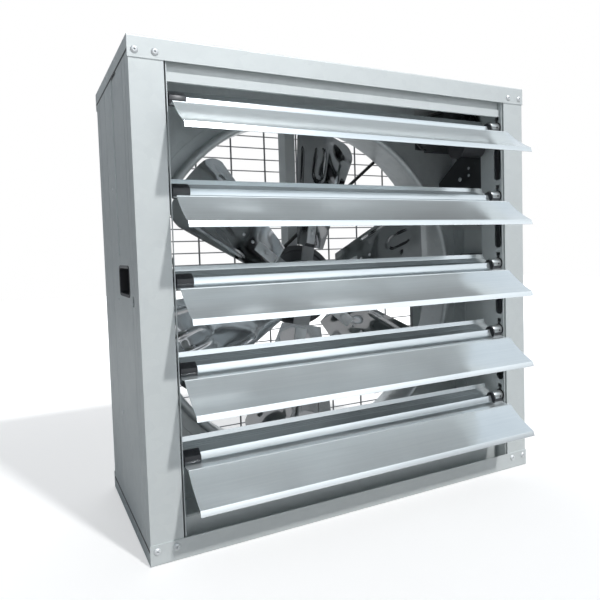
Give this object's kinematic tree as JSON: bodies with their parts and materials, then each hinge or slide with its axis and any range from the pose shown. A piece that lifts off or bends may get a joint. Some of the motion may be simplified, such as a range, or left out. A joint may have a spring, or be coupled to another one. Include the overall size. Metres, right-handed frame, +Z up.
{
  "type": "louvred exhaust fan",
  "caption": "Square sheet-metal exhaust fan with a push-open aluminium louvre shutter, stamped impeller in a rolled venturi ring, belt drive and rear wire guard.",
  "frame": {"origin": "centre of the housing's footprint on the underside of the bottom panel", "axes": "+X to the right seen from the louvres, +Y from the louvres to the intake guard, +Z up"},
  "size_m": [0.9028, 0.4894, 0.9],
  "materials": {
    "galvanised_sheet": "galvanised, satin",
    "louvre_aluminium": "mill extruded",
    "black_moulding": "moulded matte",
    "bright_steel": "zinc plated",
    "stainless_blade": "polished stainless",
    "cast_hub": "cast",
    "black_iron": "black painted casting",
    "belt_rubber": "moulded rubber",
    "black_paint": "dark enamel"
  },
  "bodies": {
    "housing": {"bearing_strut": "galvanised_sheet", "bottom_panel": "galvanised_sheet", "bottom_sill": "galvanised_sheet", "bracket_screws": "bright_steel", "corner_rivets": "bright_steel", "fixed_spindle": "bright_steel", "guard_clips": "galvanised_sheet", "guard_frame": "bright_steel", "guard_rungs": "bright_steel", "guard_uprights": "bright_steel", "left_handle": "black_moulding", "left_jamb": "galvanised_sheet", "left_side_panel": "galvanised_sheet", "motor_bracket": "black_paint", "motor_fan_cowl": "black_moulding", "motor_feet": "black_paint", "motor_frame": "black_paint", "panel_screws": "bright_steel", "pivot_bushings": "black_moulding", "right_handle": "black_moulding", "right_jamb": "galvanised_sheet", "right_side_panel": "galvanised_sheet", "side_rivets": "bright_steel", "terminal_box": "black_moulding", "top_panel": "galvanised_sheet", "top_stop_strip": "galvanised_sheet", "v_belt": "belt_rubber", "venturi_panel": "galvanised_sheet", "venturi_ring": "galvanised_sheet"},
    "impeller": {"fan_hub": "cast_hub", "hub_bearings": "bright_steel", "hub_cap": "bright_steel", "blade_rivets": "bright_steel", "fan_pulley": "black_iron", "fan_blade_1": "stainless_blade", "fan_blade_2": "stainless_blade", "fan_blade_3": "stainless_blade", "fan_blade_4": "stainless_blade", "fan_blade_5": "stainless_blade", "fan_blade_6": "stainless_blade"},
    "motor_rotor": {"motor_shaft": "bright_steel", "motor_pulley": "black_iron"},
    "shutter_1": {"louvre_1": "louvre_aluminium", "louvre_1_end_caps": "black_moulding", "louvre_1_crank": "bright_steel", "balance_weight": "black_iron", "balance_weight_arms": "black_iron"},
    "shutter_2": {"louvre_2": "louvre_aluminium", "louvre_2_end_caps": "black_moulding", "louvre_2_crank": "bright_steel"},
    "shutter_3": {"louvre_3": "louvre_aluminium", "louvre_3_end_caps": "black_moulding", "louvre_3_crank": "bright_steel"},
    "shutter_4": {"louvre_4": "louvre_aluminium", "louvre_4_end_caps": "black_moulding", "louvre_4_crank": "bright_steel"},
    "shutter_5": {"louvre_5": "louvre_aluminium", "louvre_5_end_caps": "black_moulding", "louvre_5_crank": "bright_steel"},
    "shutter_link": {"pull_rod": "bright_steel"}
  },
  "joints": [
    {"name": "impeller_spin", "type": "hinge", "parent": "housing", "child": "impeller", "pos_m": [0, 0.066, 0.45], "axis": [0, 1, 0], "continuous": true},
    {"name": "motor_spin", "type": "hinge", "parent": "housing", "child": "motor_rotor", "pos_m": [0.392, 0.09, 0.8435], "axis": [0, 1, 0], "continuous": true},
    {"name": "louvre_1_hinge", "type": "hinge", "parent": "housing", "child": "shutter_1", "pos_m": [0, -0.182, 0.808], "axis": [-1, 0, 0], "range_deg": [-57, 33]},
    {"name": "louvre_2_hinge", "type": "hinge", "parent": "housing", "child": "shutter_2", "pos_m": [0, -0.182, 0.6506], "axis": [-1, 0, 0], "range_deg": [-57, 33]},
    {"name": "louvre_3_hinge", "type": "hinge", "parent": "housing", "child": "shutter_3", "pos_m": [0, -0.182, 0.4932], "axis": [-1, 0, 0], "range_deg": [-57, 33]},
    {"name": "louvre_4_hinge", "type": "hinge", "parent": "housing", "child": "shutter_4", "pos_m": [0, -0.182, 0.3358], "axis": [-1, 0, 0], "range_deg": [-57, 33]},
    {"name": "louvre_5_hinge", "type": "hinge", "parent": "housing", "child": "shutter_5", "pos_m": [0, -0.182, 0.1784], "axis": [-1, 0, 0], "range_deg": [-57, 33]},
    {"name": "pull_rod_hinge", "type": "hinge", "parent": "shutter_1", "child": "shutter_link", "pos_m": [0.4075, -0.16146, 0.80363], "axis": [-1, 0, 0], "range_deg": [-33, 57]}
  ],
  "couplings": [
    {"joint": "motor_spin", "follows": "impeller_spin", "ratio": 2.6438},
    {"joint": "louvre_2_hinge", "follows": "louvre_1_hinge", "ratio": 1},
    {"joint": "louvre_3_hinge", "follows": "louvre_1_hinge", "ratio": 1},
    {"joint": "louvre_4_hinge", "follows": "louvre_1_hinge", "ratio": 1},
    {"joint": "louvre_5_hinge", "follows": "louvre_1_hinge", "ratio": 1},
    {"joint": "pull_rod_hinge", "follows": "louvre_1_hinge", "ratio": -1}
  ]
}
